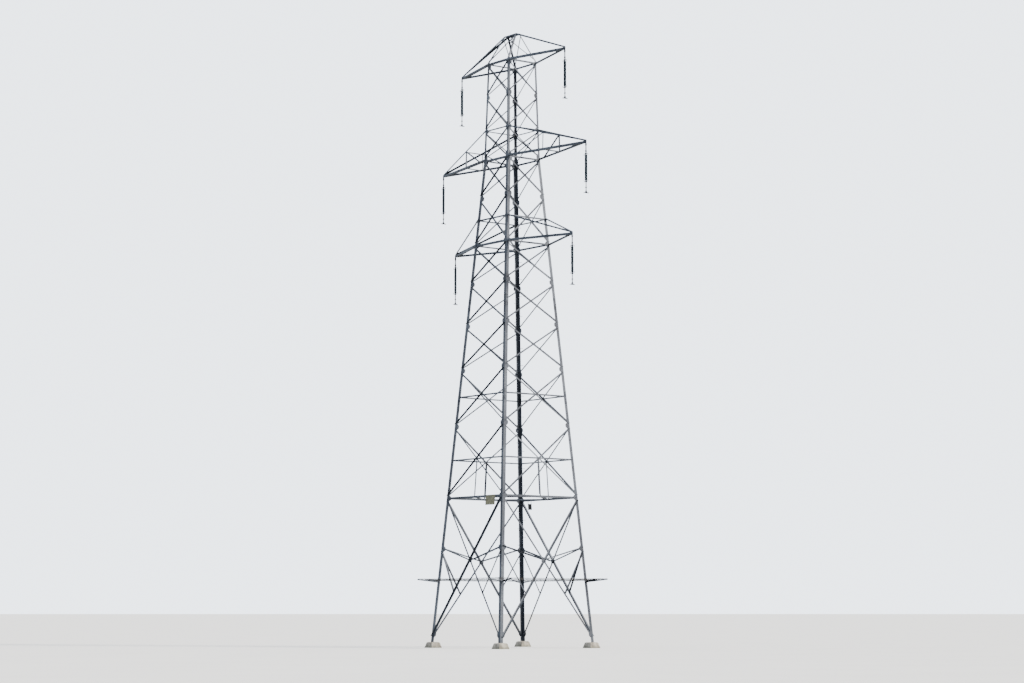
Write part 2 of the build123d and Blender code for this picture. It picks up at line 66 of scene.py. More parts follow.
LENS_MM = 85.0

# Light: the strength of the surround, of the backdrop as it is seen, and of the main light
SURROUND = 1.35
BACKDROP = 4.0
MAIN_LIGHT = 6.8
MAIN_LIGHT_FROM = (0.74, 0.42, 0.62)
MAIN_LIGHT_SPREAD = math.radians(9)
FLOOR_RADIUS = 1500

# Angles of the body
LEG_WIDTH = 0.150
CAGE_LEG_WIDTH = 0.100
PEAK_LEG_WIDTH = 0.070
FLANGE = 0.010
BRACE = 0.006
BRACE_INSET = 0.042
BASE_BRACE_INSET = 0.062
NODE_OFFSET = 0.095
RIDGE_GAP = 0.105
RIDGE_HALF = 0.415

# Panel points, up from the ground
BASE_HEIGHT = 6.44
PANEL_HEIGHTS = (3.11, 2.45, 1.95, 1.85, 1.70, 2.10, 1.70)
CAGE_HEIGHTS = (1.30, 1.52, 1.48)
RINGED_PANELS = (0, 1, 5)
BRACE_FOOT_HEIGHT = 0.480
MID_LEG_HEIGHT = 4.250
REDUNDANT_SHARE = 0.57
STRUT_SETBACK = 0.090
STRUT_DROP = 0.040
BASE_RING_WIDTH = 0.090
ARM_RING_WIDTH = 0.090
ARM_SIDE_RING_WIDTH = 0.065
PLAN_BAR_WIDTH = 0.060

# Arms
TIP_OVERHANG = 0.045
TIP_RISE = 0.045
CHORD = 0.008
UPPER_CHORD = 0.007
UPPER_CHORD_WIDTH = 0.070

# Bolts, as across their flats, head, nut, washer and shank
BOLT_16 = {"across": 0.024, "head": 0.010, "nut": 0.013, "washer": 0.015, "shank": 0.008}
BOLT_20 = {"across": 0.030, "head": 0.013, "nut": 0.016, "washer": 0.0185, "shank": 0.010}
WASHER = 0.003
THREAD_END = 0.007
SPANNER_TURN = 37.0

# How far in from a bar's end, a plate's edge or a joint's middle its bolts sit
END_BOLTS = (0.028, 0.075)
LAST_BOLT = (0.020,)
CROSSING_BOLT = (0.060,)
PLAN_BOLT = 0.030
SPLICE_ROWS = (0.045, 0.105)
SPLICE_BOLTS = (-0.21, -0.15, -0.09, 0.09, 0.15, 0.21)
ROOT_LEG_BOLTS = (0.040, 0.095)
ROOT_ARM_BOLTS = (0.06, 0.13, 0.20)
TIP_LOWER_BOLTS = (0.075, 0.135, 0.195)
TIP_UPPER_BOLTS = (0.10, 0.16)
PEAK_BOLT_SHARES = (0.35, 0.80)
CAGE_END_BOLTS = (0.045, 0.090)
RIDGE_BOLTS = (0.04, 0.12, 0.20)

# Small plates: at the panel points, round the arms' roots, over the leg joints, and the two bare ones
NODE_PLATE_REACH = 0.085
NODE_PLATE_LAP = 0.002
NODE_PLATE_HALF = 0.135
NODE_PLATE_TIP = 0.055
FOOT_PLATE_HEIGHT = BRACE_FOOT_HEIGHT + 0.10
ROOT_PLATE = 0.008
ROOT_PLATE_HALF = 0.046
ROOT_PLATE_REACH = 0.26
PEAK_PLATE_RISE = 0.15
PEAK_PLATE_DROP = 0.12
PLATE_EDGE = 0.006
SPLICE = 0.010
SPLICE_HALF = 0.26
SPLICE_EDGE = 0.012
BARE_PLATE = 0.003
BARE_PLATE_BOLT_DROP = 0.030

# Step bolts up one leg
STEP_FIRST = 3.30
STEP_PITCH = 0.38
STEP_REACH = 0.165
STEP_HEAD = 0.008
STEP_CLEAR = 0.23
STEP_EDGE = 0.03

# Concrete feet
FOOT_TAPER = 0.75
FOOT_CROWN = 0.02
FOOT_LEDGE = 0.09
FOOT_ARRIS = 0.022

# Barbed wire of the guard
WIRE_RINGS = 5
WIRE_PITCH = 0.115
WIRE_WIDTH = 0.012
WIRE_THICKNESS = 0.006
WIRE_TWIST = 0.12
WIRE_STEPS = 8
WIRE_SAG = 0.012
BARB_PITCH = 0.075
BARB_REACH = 0.026
BARB_RADIUS = 0.0026
BARB_COIL = 0.010
BARB_LEAN = 0.35

# Hanging sets, down from the pin of the link and from the pin of the insulator
CHEEK_WIDTH = 0.056
CHEEK = 0.012
CHEEK_MIDDLE = 0.020
FORK_DEPTH = 0.062
FORK_BEND = 0.010
LINK_LENGTH = 0.290
EYE = 0.016
PIN_RADIUS = 0.011
PIN_END = 0.020
PIN_HEAD = 0.010
PIN_HEAD_RADIUS = 0.017
SPLIT_PIN_RADIUS = 0.0022
SPLIT_PIN_FOOT = (0.009, 0.013, -0.026)
SPLIT_PIN_RISE = 0.038
EAR_ROUND = 0.85
EYE_ROUND = 0.48
FORGED_EDGE = 0.004
CAP_LENGTH = 0.100
CAP_NECK = 0.022
CAP_FLANGE = 0.054
CAP_SLEEVE = 0.041
CAP_LAP = 0.012
INSULATOR_LENGTH = 1.100
STRAP_LENGTH = 0.375
STRAP_WIDTH = 0.046
STRAP_LAP = 0.02
STRAP_BOLTS = (0.035, STRAP_LENGTH - 0.045)
COLLAR_DROP = 0.200
COLLAR = (0.058, 0.058, 0.050)
HORN_REACH = 0.150
HORN_RADIUS = 0.010
HORN_BEND = 0.035
HORN_ROOT = 0.015
HORN_TIP = 0.020
CLAMP_LENGTH = 0.260
CLAMP_HALF = 0.028
CLAMP_RISE = 0.035
CLAMP_CHEEK = (0.006, 0.042, 0.088)
CLAMP_CHEEK_MIDDLE = 0.031
CLAMP_CHEEK_RISE = 0.030
CLAMP_BOLT_RISE = 0.052
EARTH_CLAMP_LENGTH = 0.180
EARTH_CLAMP_HALF = 0.022
EARTH_CLAMP_DROP = 0.190
EARTH_STEM_WIDTH = 0.044
BOAT_WALL = 0.006
BOAT_DROP = 0.014
BOAT_LIP = 0.72
U_BOLT_RADIUS = 0.005
U_BOLT_FOOT = -0.030
U_BOLT_RISE = 0.040
KEEPER = 0.016
KEEPER_RISE = 0.010
SADDLE = 0.008
SADDLE_LENGTH = 0.022
SADDLE_DROP = 0.012

# Insulator sheds: wide and narrow by turns
SHED_PITCH = 0.021
SHED_REACH = (0.065, 0.059)
ROD_RADIUS = 0.024
ROUND_STEPS = 28

# Read off the tower's own solids
leg_low, leg_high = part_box("leg_front_right")
WAIST_HEIGHT = leg_high.z
WAIST_HALF = leg_low.x + LEG_WIDTH
LEG_BATTER = (leg_high.x - WAIST_HALF) / (WAIST_HEIGHT - leg_low.z)
CAGE_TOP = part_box("cage_legs")[1].z
PEAK_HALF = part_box("peak")[1].x
CAGE_BATTER = (WAIST_HALF - PEAK_HALF) / (CAGE_TOP - WAIST_HEIGHT)
RIDGE_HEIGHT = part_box("peak")[1].z

LEVELS = [BASE_HEIGHT + sum(PANEL_HEIGHTS[:index]) for index in range(len(PANEL_HEIGHTS) + 1)]
CAGE_LEVELS = [WAIST_HEIGHT + sum(CAGE_HEIGHTS[:index]) for index in range(len(CAGE_HEIGHTS) + 1)]
SPLICE_HEIGHTS = [(LEVELS[1] + LEVELS[2]) / 2, (LEVELS[3] + LEVELS[4]) / 2]

# The turn that takes a form from the front to each side, and the mirrors that take it to each corner
SIDES = {side: Matrix.Rotation(index * math.pi / 2, 4, "Z")
         for index, side in enumerate(("front", "right", "rear", "left"))}
CORNERS = [Matrix.Diagonal((side_x, side_y, 1, 1)) for side_x in (-1, 1) for side_y in (-1, 1)]
STRING_KEYS = [level + "_" + side for level in ("top", "middle", "bottom") for side in ("right", "left")]
UP = Vector((0, 0, 1))
DOWN = -UP
ALONG_X = Vector((1, 0, 0))
ALONG_Y = Vector((0, 1, 0))


def linear(shade):
    """An sRGB hex colour as linear red, green, blue and full alpha."""
    parts = [int(shade[place:place + 2], 16) / 255 for place in (1, 3, 5)]
    parts = [part / 12.92 if part <= 0.04045 else ((part + 0.055) / 1.055) ** 2.4 for part in parts]
    return (*parts, 1.0)


def add(tree, kind, sockets=None, links=None, stops=None, **settings):
    """Add one kind of shader node with its settings, socket values, links and colour stops."""
    made = tree.nodes.new("ShaderNode" + kind)
    for name, value in settings.items():
        setattr(made, name, value)
    for name, value in (sockets or {}).items():
        made.inputs[name].default_value = value
    for name, source in (links or {}).items():
        tree.links.new(source, made.inputs[name])
    if stops:
        ramp = made.color_ramp.elements
        while len(ramp) < len(stops):
            ramp.new(0.5)
        for element, (place, shade) in zip(ramp, stops):
            element.position = place
            element.color = linear(shade)
    return made


def per_metre(millimetres):
    """The scale of a pattern whose features are so many millimetres wide."""
    return 1000 / millimetres


def bare_material(name):
    """An empty node material, its tree, and the place on the piece that its patterns follow."""
    material = bpy.data.materials.new(name)
    material.use_nodes = True
    tree = material.node_tree
    tree.nodes.clear()
    return material, tree, add(tree, "TexCoord").outputs["Object"]


def surfaced(material, sockets, links):
    """Close a material with its shader and its output."""
    tree = material.node_tree
    shader = add(tree, "BsdfPrincipled", sockets, links)
    add(tree, "OutputMaterial", None, {"Surface": shader.outputs["BSDF"]})
    return material


def zinc_finish(name, light, middle, dark, stain, metallic, roughness):
    """Hot-dip zinc after years outdoors: dull patches, rain streaks and a rusty bloom."""
    material, tree, place = bare_material(name)
    # Members come from different batches, so the tone drifts over a metre and a half
    batch = add(tree, "TexNoise", {"Scale": per_metre(1500), "Detail": 1.0}, {"Vector": place})
    # Zinc patina breaks into patches about 60 mm wide
    patch = add(tree, "TexNoise", {"Scale": per_metre(60), "Detail": 4.0, "Roughness": 0.62},
                {"Vector": place})
    tone = add(tree, "Math", {1: 0.55}, {0: batch.outputs["Fac"]}, operation="MULTIPLY")
    tone = add(tree, "Math", {1: 0.45}, {0: patch.outputs["Fac"], 2: tone.outputs[0]},
               operation="MULTIPLY_ADD")
    colour = add(tree, "ValToRGB", None, {"Fac": tone.outputs[0]},
                 [(0.36, dark), (0.50, middle), (0.64, light)])
    # Rain draws streaks about 25 mm wide and half a metre long
    stretched = add(tree, "Mapping", {"Scale": (per_metre(25), per_metre(25), per_metre(500))},
                    {"Vector": place})
    streak = add(tree, "TexNoise", {"Scale": 1.0, "Detail": 3.0},
                 {"Vector": stretched.outputs["Vector"]})
    rusty = add(tree, "MapRange", {"From Min": 0.56, "From Max": 0.78, "To Max": 0.75},
                {"Value": streak.outputs["Fac"]})
    mixed = add(tree, "Mix", {7: linear(stain)},
                {0: rusty.outputs["Result"], 6: colour.outputs["Color"]}, data_type="RGBA")
    # Spangle and dust roughen the coat at about 8 mm
    grain = add(tree, "TexNoise", {"Scale": per_metre(8), "Detail": 3.0}, {"Vector": place})
    gloss = add(tree, "MapRange", {"To Min": roughness - 0.10, "To Max": roughness + 0.12},
                {"Value": patch.outputs["Fac"]})
    bump = add(tree, "Bump", {"Strength": 0.25, "Distance": 0.0008}, {"Height": grain.outputs["Fac"]})
    return surfaced(material, {"Metallic": metallic},
                    {"Base Color": mixed.outputs[2], "Roughness": gloss.outputs["Result"],
                     "Normal": bump.outputs["Normal"]})


def weathered_galvanised_steel():
    """Rolled angles dipped in zinc: the shine is gone and a blue-grey patina is left."""
    return zinc_finish("weathered_galvanised_steel", "#68707b", "#4a515c", "#343a44",
                       "#4a3f3b", 0.45, 0.54)


def forged_fittings():
    """Forged and dipped line fittings: darker, smoother and rustier than the angles."""
    return zinc_finish("forged_galvanised_fittings", "#434a53", "#2f353d", "#20242a",
                       "#3a2d27", 0.35, 0.50)


def barbed_wire_zinc():
    """Drawn wire with a thin zinc coat that has mostly turned dull brown."""
    return zinc_finish("zinc_coated_wire", "#4c4c4d", "#373635", "#272524", "#4c382c", 0.5, 0.6)


def cast_concrete():
    """Concrete cast in a form: pale cement skin, fine sand, damp and algae near the ground."""
    material, tree, place = bare_material("cast_concrete")
    cloud = add(tree, "TexNoise", {"Scale": per_metre(180), "Detail": 5.0}, {"Vector": place})
    colour = add(tree, "ValToRGB", None, {"Fac": cloud.outputs["Fac"]},
                 [(0.32, "#7c7870"), (0.52, "#a19c92"), (0.70, "#b9b5aa")])
    height = add(tree, "SeparateXYZ", None, {"Vector": place})
    damp = add(tree, "MapRange", {"From Min": 0.14, "From Max": 0.0, "To Max": 0.7},
               {"Value": height.outputs["Z"]})
    mixed = add(tree, "Mix", {7: linear("#5a5b4c")},
                {0: damp.outputs["Result"], 6: colour.outputs["Color"]}, data_type="RGBA")
    sand = add(tree, "TexNoise", {"Scale": per_metre(6), "Detail": 4.0}, {"Vector": place})
    bump = add(tree, "Bump", {"Strength": 0.5, "Distance": 0.002}, {"Height": sand.outputs["Fac"]})
    return surfaced(material, {"Roughness": 0.9},
                    {"Base Color": mixed.outputs[2], "Normal": bump.outputs["Normal"]})


def enamel(name, light, dark, worn, roughness):
    """Stoved paint on a steel plate: chalky in patches, with rust where it has flaked."""
    material, tree, place = bare_material(name)
    chalk = add(tree, "TexNoise", {"Scale": per_metre(90), "Detail": 4.0}, {"Vector": place})
    colour = add(tree, "ValToRGB", None, {"Fac": chalk.outputs["Fac"]}, [(0.35, dark), (0.65, light)])
    flake = add(tree, "TexNoise", {"Scale": per_metre(28), "Detail": 5.0, "Roughness": 0.7},
                {"Vector": place})
    flaked = add(tree, "MapRange", {"From Min": 0.62, "From Max": 0.68}, {"Value": flake.outputs["Fac"]})
    mixed = add(tree, "Mix", {7: linear(worn)},
                {0: flaked.outputs["Result"], 6: colour.outputs["Color"]}, data_type="RGBA")
    bump = add(tree, "Bump", {"Strength": 0.2, "Distance": 0.0004}, {"Height": flaked.outputs["Result"]})
    return surfaced(material, {"Roughness": roughness},
                    {"Base Color": mixed.outputs[2], "Normal": bump.outputs["Normal"]})


def silicone_rubber():
    """Moulded grey silicone: soft sheen, with pale dust that settles in clouds."""
    material, tree, place = bare_material("silicone_rubber")
    dust = add(tree, "TexNoise", {"Scale": per_metre(45), "Detail": 4.0}, {"Vector": place})
    colour = add(tree, "ValToRGB", None, {"Fac": dust.outputs["Fac"]},
                 [(0.35, "#22323c"), (0.60, "#30434f"), (0.80, "#4c6270")])
    gloss = add(tree, "MapRange", {"To Min": 0.42, "To Max": 0.70}, {"Value": dust.outputs["Fac"]})
    return surfaced(material, {"IOR": 1.43},
                    {"Base Color": colour.outputs["Color"], "Roughness": gloss.outputs["Result"]})


def studio_floor():
    """A plain pale floor that throws no more light up on the steel than open ground does."""
    material, tree, place = bare_material("pale_floor")
    shade = add(tree, "TexNoise", {"Scale": per_metre(4000), "Detail": 1.0}, {"Vector": place})
    colour = add(tree, "ValToRGB", None, {"Fac": shade.outputs["Fac"]},
                 [(0.3, "#f5f6f6"), (0.7, "#f9fafa")])
    seen = add(tree, "LightPath").outputs["Is Camera Ray"]
    thrown = add(tree, "Mix", {6: linear("#6f706c")},
                 {0: seen, 7: colour.outputs["Color"]}, data_type="RGBA")
    return surfaced(material, {"Roughness": 0.9}, {"Base Color": thrown.outputs[2]})


MATERIAL_OF_SLOT = {
    "galvanised_steel": weathered_galvanised_steel(),
    "fittings_steel": forged_fittings(),
    "wire": barbed_wire_zinc(),
    "concrete": cast_concrete(),
    "plate_yellow": enamel("yellow_enamel", "#86846a", "#66654f", "#4f3d2c", 0.55),
    "plate_dark": enamel("dark_enamel", "#1f2124", "#141517", "#2b2522", 0.45),
    "silicone_rubber": silicone_rubber(),
}


def dress_solids():
    """Give every solid of the tower the material of its own slot."""
    for part in frame["record"]["subparts"]:
        solid = frame["nodes"][part["node"]]
        solid.data.materials.clear()
        solid.data.materials.append(MATERIAL_OF_SLOT[part["material_slot"]])


def body_half(height):
    """Half the width of the body at a height, to the outside of the legs."""
    if height <= WAIST_HEIGHT:
        return WAIST_HALF + (WAIST_HEIGHT - height) * LEG_BATTER
    return WAIST_HALF - (height - WAIST_HEIGHT) * CAGE_BATTER


def front_normal(height):
    """The outward direction of the front side at a height: it leans back as the legs do."""
    return Vector((0, -1, LEG_BATTER if height < WAIST_HEIGHT else CAGE_BATTER)).normalized()


def front_point(across, height, depth=0.0):
    """A point on the front side, so far across, so high and so far out of the legs' faces."""
    return Vector((across, -body_half(height), height)) + front_normal(height) * depth


def leg_width(height):
    """How wide the leg's flanges are at a height."""
    return LEG_WIDTH if height <= WAIST_HEIGHT else CAGE_LEG_WIDTH


def facing_place(spot, way):
    """Where a thing made along Z goes, so that it starts at a spot and points along a way."""
    return Matrix.Translation(spot) @ way.to_track_quat("Z", "Y").to_matrix().to_4x4()


def points_of(made):
    """The vertices among what an operator made."""
    return [part for part in made if isinstance(part, bmesh.types.BMVert)]


def edges_at(corners):
    """The edges that meet at some corners, each once."""
    return list(dict.fromkeys(edge for corner in corners for edge in corner.link_edges))


def corners_of(edges):
    """The corners at the ends of some edges, each once."""
    return list(dict.fromkeys(corner for edge in edges for corner in edge.verts))


def drawn(form, edges, way):
    """Draw a row or ring of edges out along a straight way, and give its new end."""
    made = bmesh.ops.extrude_edge_only(form, edges=edges)["geom"]
    bmesh.ops.translate(form, verts=points_of(made), vec=way)
    return [part for part in made if isinstance(part, bmesh.types.BMEdge)]


def bent(form, edges, centre, axis, angle, steps=4):
    """Carry a row or ring of edges round a bend, and give its new end."""
    made = bmesh.ops.spin(form, geom=corners_of(edges) + edges, cent=centre, axis=axis,
                          dvec=(0, 0, 0), angle=angle, steps=steps, use_merge=False)["geom_last"]
    return [part for part in made if isinstance(part, bmesh.types.BMEdge) and len(part.link_faces) < 2]


def bar_end(form, radius, sides, spot, facing):
    """The capped end of a round bar at a spot: the ring of edges that the bar is drawn from."""
    made = bmesh.ops.create_circle(form, cap_ends=True, segments=sides, radius=radius,
                                   matrix=facing_place(spot, facing))["verts"]
    return edges_at(made)


def round_bar(form, radius, sides, spot, way):
    """A straight round bar from a spot, along a way."""
    ring = drawn(form, bar_end(form, radius, sides, spot, way.normalized()), way)
    bmesh.ops.edgeloop_fill(form, edges=ring)


def hairpin(form, radius, sides, foot, rise, steps):
    """A round bar that goes up from its foot, round half a turn over the middle, and down."""
    ring = drawn(form, bar_end(form, radius, sides, foot, UP), UP * rise)
    ring = bent(form, ring, (0, foot.y, foot.z + rise), -ALONG_Y, math.pi, steps)
    bmesh.ops.edgeloop_fill(form, edges=drawn(form, ring, DOWN * rise))


def rounded(form, edges, radius, segments):
    """Round some edges of a form off."""
    bmesh.ops.bevel(form, geom=edges, offset=radius, offset_type="OFFSET", segments=segments,
                    profile=0.5, material=-1, affect="EDGES", clamp_overlap=True)


def block(form, size, middle):
    """A sharp block, and its corners, for other operators to shape."""
    made = bmesh.ops.create_cube(form, size=1.0)["verts"]
    bmesh.ops.scale(form, verts=made, vec=size)
    bmesh.ops.translate(form, verts=made, vec=middle)
    return made


def rounded_block(form, size, middle, radius, segments=2):
    """A block with its edges rounded."""
    rounded(form, edges_at(block(form, size, middle)), radius, segments)


def spun(form, outline, spot, steps):
    """A closed round form about an upright axis, from an outline of (radius, height) points."""
    chain = [form.verts.new(spot + Vector((radius, 0, height))) for radius, height in outline]
    edges = [form.edges.new(pair) for pair in zip(chain[:-1], chain[1:])]
    bmesh.ops.spin(form, geom=chain + edges, cent=spot, axis=(0, 0, 1), dvec=(0, 0, 0),
                   angle=2 * math.pi, steps=steps, use_merge=True)
    bmesh.ops.remove_doubles(form, verts=form.verts, dist=1e-5)


def as_mesh(name, form):
    """Turn a form into a mesh, and let the form go."""
    mesh = bpy.data.meshes.new(name)
    form.to_mesh(mesh)
    form.free()
    return mesh


def laid_in(work, mesh, place):
    """Add a copy of a mesh to the work at its place."""
    copy = mesh.copy()
    copy.transform(place)
    work.from_mesh(copy)
    bpy.data.meshes.remove(copy)


def moved_in(work, form, *places):
    """Use a form up: add it to the work at each place. A mirrored one is turned right side out later."""
    part = as_mesh("part", form)
    for place in places:
        laid_in(work, part, place)
    bpy.data.meshes.remove(part)


def on_all_sides(form):
    """Use a form up that was made on the front, and give it on all four sides."""
    work = bmesh.new()
    moved_in(work, form, *SIDES.values())
    return work


def new_object(name, data):
    """A new object of the scene, at the origin."""
    made = bpy.data.objects.new(name, data)
    bpy.context.scene.collection.objects.link(made)
    return made


def finish_piece(name, work, body="tower", slot_name="galvanised_steel", smooth=None):
    """Turn the work into a piece that rides on a body, in its slot's material.

    A piece with a smooth angle is shaded round up to that many degrees between faces.
    """
    bmesh.ops.recalc_face_normals(work, faces=work.faces)
    mesh = as_mesh(name, work)
    mesh.materials.append(MATERIAL_OF_SLOT[slot_name])
    if smooth:
        for face in mesh.polygons:
            face.use_smooth = True
        mesh.set_sharp_from_angle(angle=math.radians(smooth))
    piece = new_object(name, mesh)
    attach(piece, body)
    return piece


def bolt_ends(size):
    """The two ends of a tight bolt, each standing on its washer: the head, and the nut."""
    ends = {}
    corner = size["across"] / math.sqrt(3)
    for end in ("head", "nut"):
        stack = [(10, size["washer"], 1.0, WASHER), (6, corner, 0.94, size[end])]
        if end == "nut":
            stack.append((6, size["shank"], 0.8, THREAD_END))
        form = bmesh.new()
        foot = 0
        for sides, radius, taper, depth in stack:
            bmesh.ops.create_cone(form, cap_ends=True, segments=sides, radius1=radius,
                                  radius2=radius * taper, depth=depth,
                                  matrix=Matrix.Translation((0, 0, foot + depth / 2)))
            foot += depth
        ends[end] = as_mesh("bolt_" + end, form)
    return ends


def stamp(work, mesh, spot, facing):
    """Add a copy of a small mesh, its foot at a spot; each is turned as it was left by the spanner."""
    laid_in(work, mesh, facing_place(spot, facing) @ Matrix.Rotation(spot.z * SPANNER_TURN, 4, "Z"))


def bolt(work, ends, spot, facing, grip):
    """A bolt through a joint: its head at the spot, its nut at the far side of the grip."""
    stamp(work, ends["head"], spot, facing)
    stamp(work, ends["nut"], spot - facing * grip, -facing)


def bolt_row(work, ends, start, end, gaps, outer, grip):
    """Bolts through a bar on the front side, so far from its first end, their heads so far out."""
    first = front_point(*start)
    along = (front_point(*end) - first).normalized()
    facing = front_normal(start[1])
    for gap in gaps:
        bolt(work, ends, first + along * gap + facing * outer, facing, grip)


def flange_plate(work, height, leg, corners, low, high):
    """A flat plate along a leg, between two depths, its corners so far in and so far up."""
    outline = []
    for inwards, up in corners:
        level = height + up
        outline.append(work.verts.new(front_point(leg * (body_half(level) - inwards), level, low)))
    raised = bmesh.ops.extrude_face_region(work, geom=[work.faces.new(outline)])["geom"]
    bmesh.ops.translate(work, verts=points_of(raised),
                        vec=front_normal(height + corners[0][1]) * (high - low))


def crossing(low, high, inset=0):
    """The height where two bars between two others cross, their ends so far in from the edges."""
    across = body_half(low) - inset
    return low + (high - low) * across / (across + body_half(high) - inset)


def crossed_bolts(work, ends, foot, head, inset):
    """Bolts in both ends of two crossing bars. It gives the bars, the outer one first, with depths."""
    low = body_half(foot) - inset
    high = body_half(head) - inset
    bars = (((-low, foot), (high, head), BRACE), ((-high, head), (low, foot), 0))
    for start, end, outer in bars:
        for near, far in ((start, end), (end, start)):
            bolt_row(work, ends, near, far, END_BOLTS, outer, FLANGE + BRACE)
    return bars


def panel_bolts(work, low, high):
    """Bolts of one crossed panel: two in each bar's end and one where the bars cross."""
    foot = low + NODE_OFFSET
    head = high - NODE_OFFSET
    crossed_bolts(work, bolt_16, foot, head, BRACE_INSET)
    middle = crossing(foot, head, BRACE_INSET)
    bolt(work, bolt_16, front_point(0, middle, BRACE), front_normal(middle), FLANGE + 2 * BRACE)
    return middle


def ring_bolts(work, height):
    """Bolts in both ends of a level ring bar, through the legs from outside."""
    across = body_half(height) - BRACE_INSET
    for side in (-1, 1):
        bolt_row(work, bolt_16, (side * across, height), (0, height), END_BOLTS, 0, FLANGE + BRACE)


def base_bolts(work):
    """Bolts of the tall panel between the feet."""
    foot = BRACE_FOOT_HEIGHT
    head = BASE_HEIGHT - NODE_OFFSET
    middle = crossing(foot, head, BASE_BRACE_INSET)
    for start, end, outer in crossed_bolts(work, bolt_20, foot, head, BASE_BRACE_INSET):
        for far in (start, end):
            bolt_row(work, bolt_20, (0, middle), far, CROSSING_BOLT, outer, FLANGE + BRACE)
    across_foot = body_half(foot) - BASE_BRACE_INSET
    across_mid = body_half(MID_LEG_HEIGHT) - BRACE_INSET
    redundant_height = foot + (middle - foot) * REDUNDANT_SHARE
    for side in (-1, 1):
        strut = ((side * across_mid, MID_LEG_HEIGHT + NODE_OFFSET / 2),
                 (side * STRUT_SETBACK, middle + STRUT_DROP))
        redundant = ((side * across_mid, MID_LEG_HEIGHT - NODE_OFFSET),
                     (side * across_foot * (1 - REDUNDANT_SHARE), redundant_height))
        strut_out = 0 if side > 0 else BRACE
        bolt_row(work, bolt_16, *strut, END_BOLTS, strut_out, FLANGE + BRACE)
        bolt_row(work, bolt_16, *reversed(strut), LAST_BOLT, strut_out, FLANGE + BRACE)
        bolt_row(work, bolt_16, *redundant, END_BOLTS, BRACE - strut_out, FLANGE + BRACE)
        bolt_row(work, bolt_16, *reversed(redundant), LAST_BOLT, BRACE, FLANGE + 2 * BRACE)


def make_bracing_bolts(side):
    """Every bolt of one side's bracing, made on the front and turned round to its side."""
    work = bmesh.new()
    base_bolts(work)
    tie_width = ARM_RING_WIDTH if side in ("front", "rear") else ARM_SIDE_RING_WIDTH
    for height in (BASE_HEIGHT, LEVELS[5], WAIST_HEIGHT - tie_width / 2, CAGE_LEVELS[1], CAGE_LEVELS[-1]):
        ring_bolts(work, height)
    for index, (low, high) in enumerate(zip(LEVELS[:-1], LEVELS[1:])):
        middle = panel_bolts(work, low, high)
        if index in RINGED_PANELS:
            ring_bolts(work, middle)
    for low, high in zip(CAGE_LEVELS[:-1], CAGE_LEVELS[1:]):
        panel_bolts(work, low, high)
    bmesh.ops.transform(work, matrix=SIDES[side], verts=work.verts)
    finish_piece("bracing_bolts_" + side, work)


def make_node_plates():
    """Plates at the panel points, in line with the legs' flanges, that take the ends of the bars."""
    heights = [FOOT_PLATE_HEIGHT, MID_LEG_HEIGHT] + LEVELS[:-1] + CAGE_LEVELS[1:-1]
    heights += [WAIST_HEIGHT - NODE_OFFSET, WAIST_HEIGHT + NODE_OFFSET, CAGE_LEVELS[-1] - NODE_OFFSET]
    form = bmesh.new()
    for height in heights:
        near = leg_width(height) - NODE_PLATE_LAP
        far = leg_width(height) + NODE_PLATE_REACH
        corners = ((near, -NODE_PLATE_HALF), (near, NODE_PLATE_HALF), (far, NODE_PLATE_TIP),
                   (far, -NODE_PLATE_TIP))
        for leg in (-1, 1):
            flange_plate(form, height, leg, corners, -FLANGE, 0)
    finish_piece("node_plates", on_all_sides(form))


def make_leg_splices():
    """Cover plates and their bolts where the lengths of each main leg are joined."""
    far = LEG_WIDTH - SPLICE_EDGE
    corners = ((SPLICE_EDGE, -SPLICE_HALF), (SPLICE_EDGE, SPLICE_HALF), (far, SPLICE_HALF),
               (far, -SPLICE_HALF))
    form = bmesh.new()
    for middle in SPLICE_HEIGHTS:
        for leg in (-1, 1):
            flange_plate(form, middle, leg, corners, 0, SPLICE)
            for inwards in SPLICE_ROWS:
                for up in SPLICE_BOLTS:
                    level = middle + up
                    spot = front_point(leg * (body_half(level) - inwards), level, SPLICE)
                    bolt(form, bolt_20, spot, front_normal(level), SPLICE + FLANGE)
    finish_piece("leg_splices", on_all_sides(form))


def step_form():
    """One step bolt: a nut on the flange, the round step and its upset head."""
    form = bmesh.new()
    form.from_mesh(bolt_20["nut"])
    round_bar(form, BOLT_20["shank"] * 0.85, 8, Vector(), UP * STEP_REACH)
    round_bar(form, BOLT_20["shank"] * 1.7, 8, UP * (STEP_REACH - STEP_HEAD), UP * STEP_HEAD)
    return as_mesh("step", form)


def make_step_bolts():
    """Step bolts up the rear left leg, by turns on its rear and its left flange."""
    step = step_form()
    forms = {"rear": bmesh.new(), "left": bmesh.new()}
    keep_off = {level: STEP_CLEAR for level in [MID_LEG_HEIGHT] + LEVELS + CAGE_LEVELS}
    keep_off.update({middle: SPLICE_HALF + STEP_EDGE for middle in SPLICE_HEIGHTS})
    count = int((CAGE_LEVELS[-1] - STEP_FIRST) / STEP_PITCH)
    for index in range(count):
        height = STEP_FIRST + index * STEP_PITCH
        nearest = min(keep_off, key=lambda level: abs(height - level))
        if abs(height - nearest) < keep_off[nearest]:
            height = nearest + math.copysign(keep_off[nearest], height - nearest)
        side, leg = (("rear", 1), ("left", -1))[index % 2]
        across = leg * (body_half(height) - leg_width(height) / 2)
        facing = front_normal(height)
        stamp(forms[side], step, front_point(across, height), facing)
        stamp(forms[side], bolt_20["nut"], front_point(across, height, -FLANGE), -facing)
    work = bmesh.new()
    for side, form in forms.items():
        moved_in(work, form, SIDES[side])
    finish_piece("step_bolts", work)


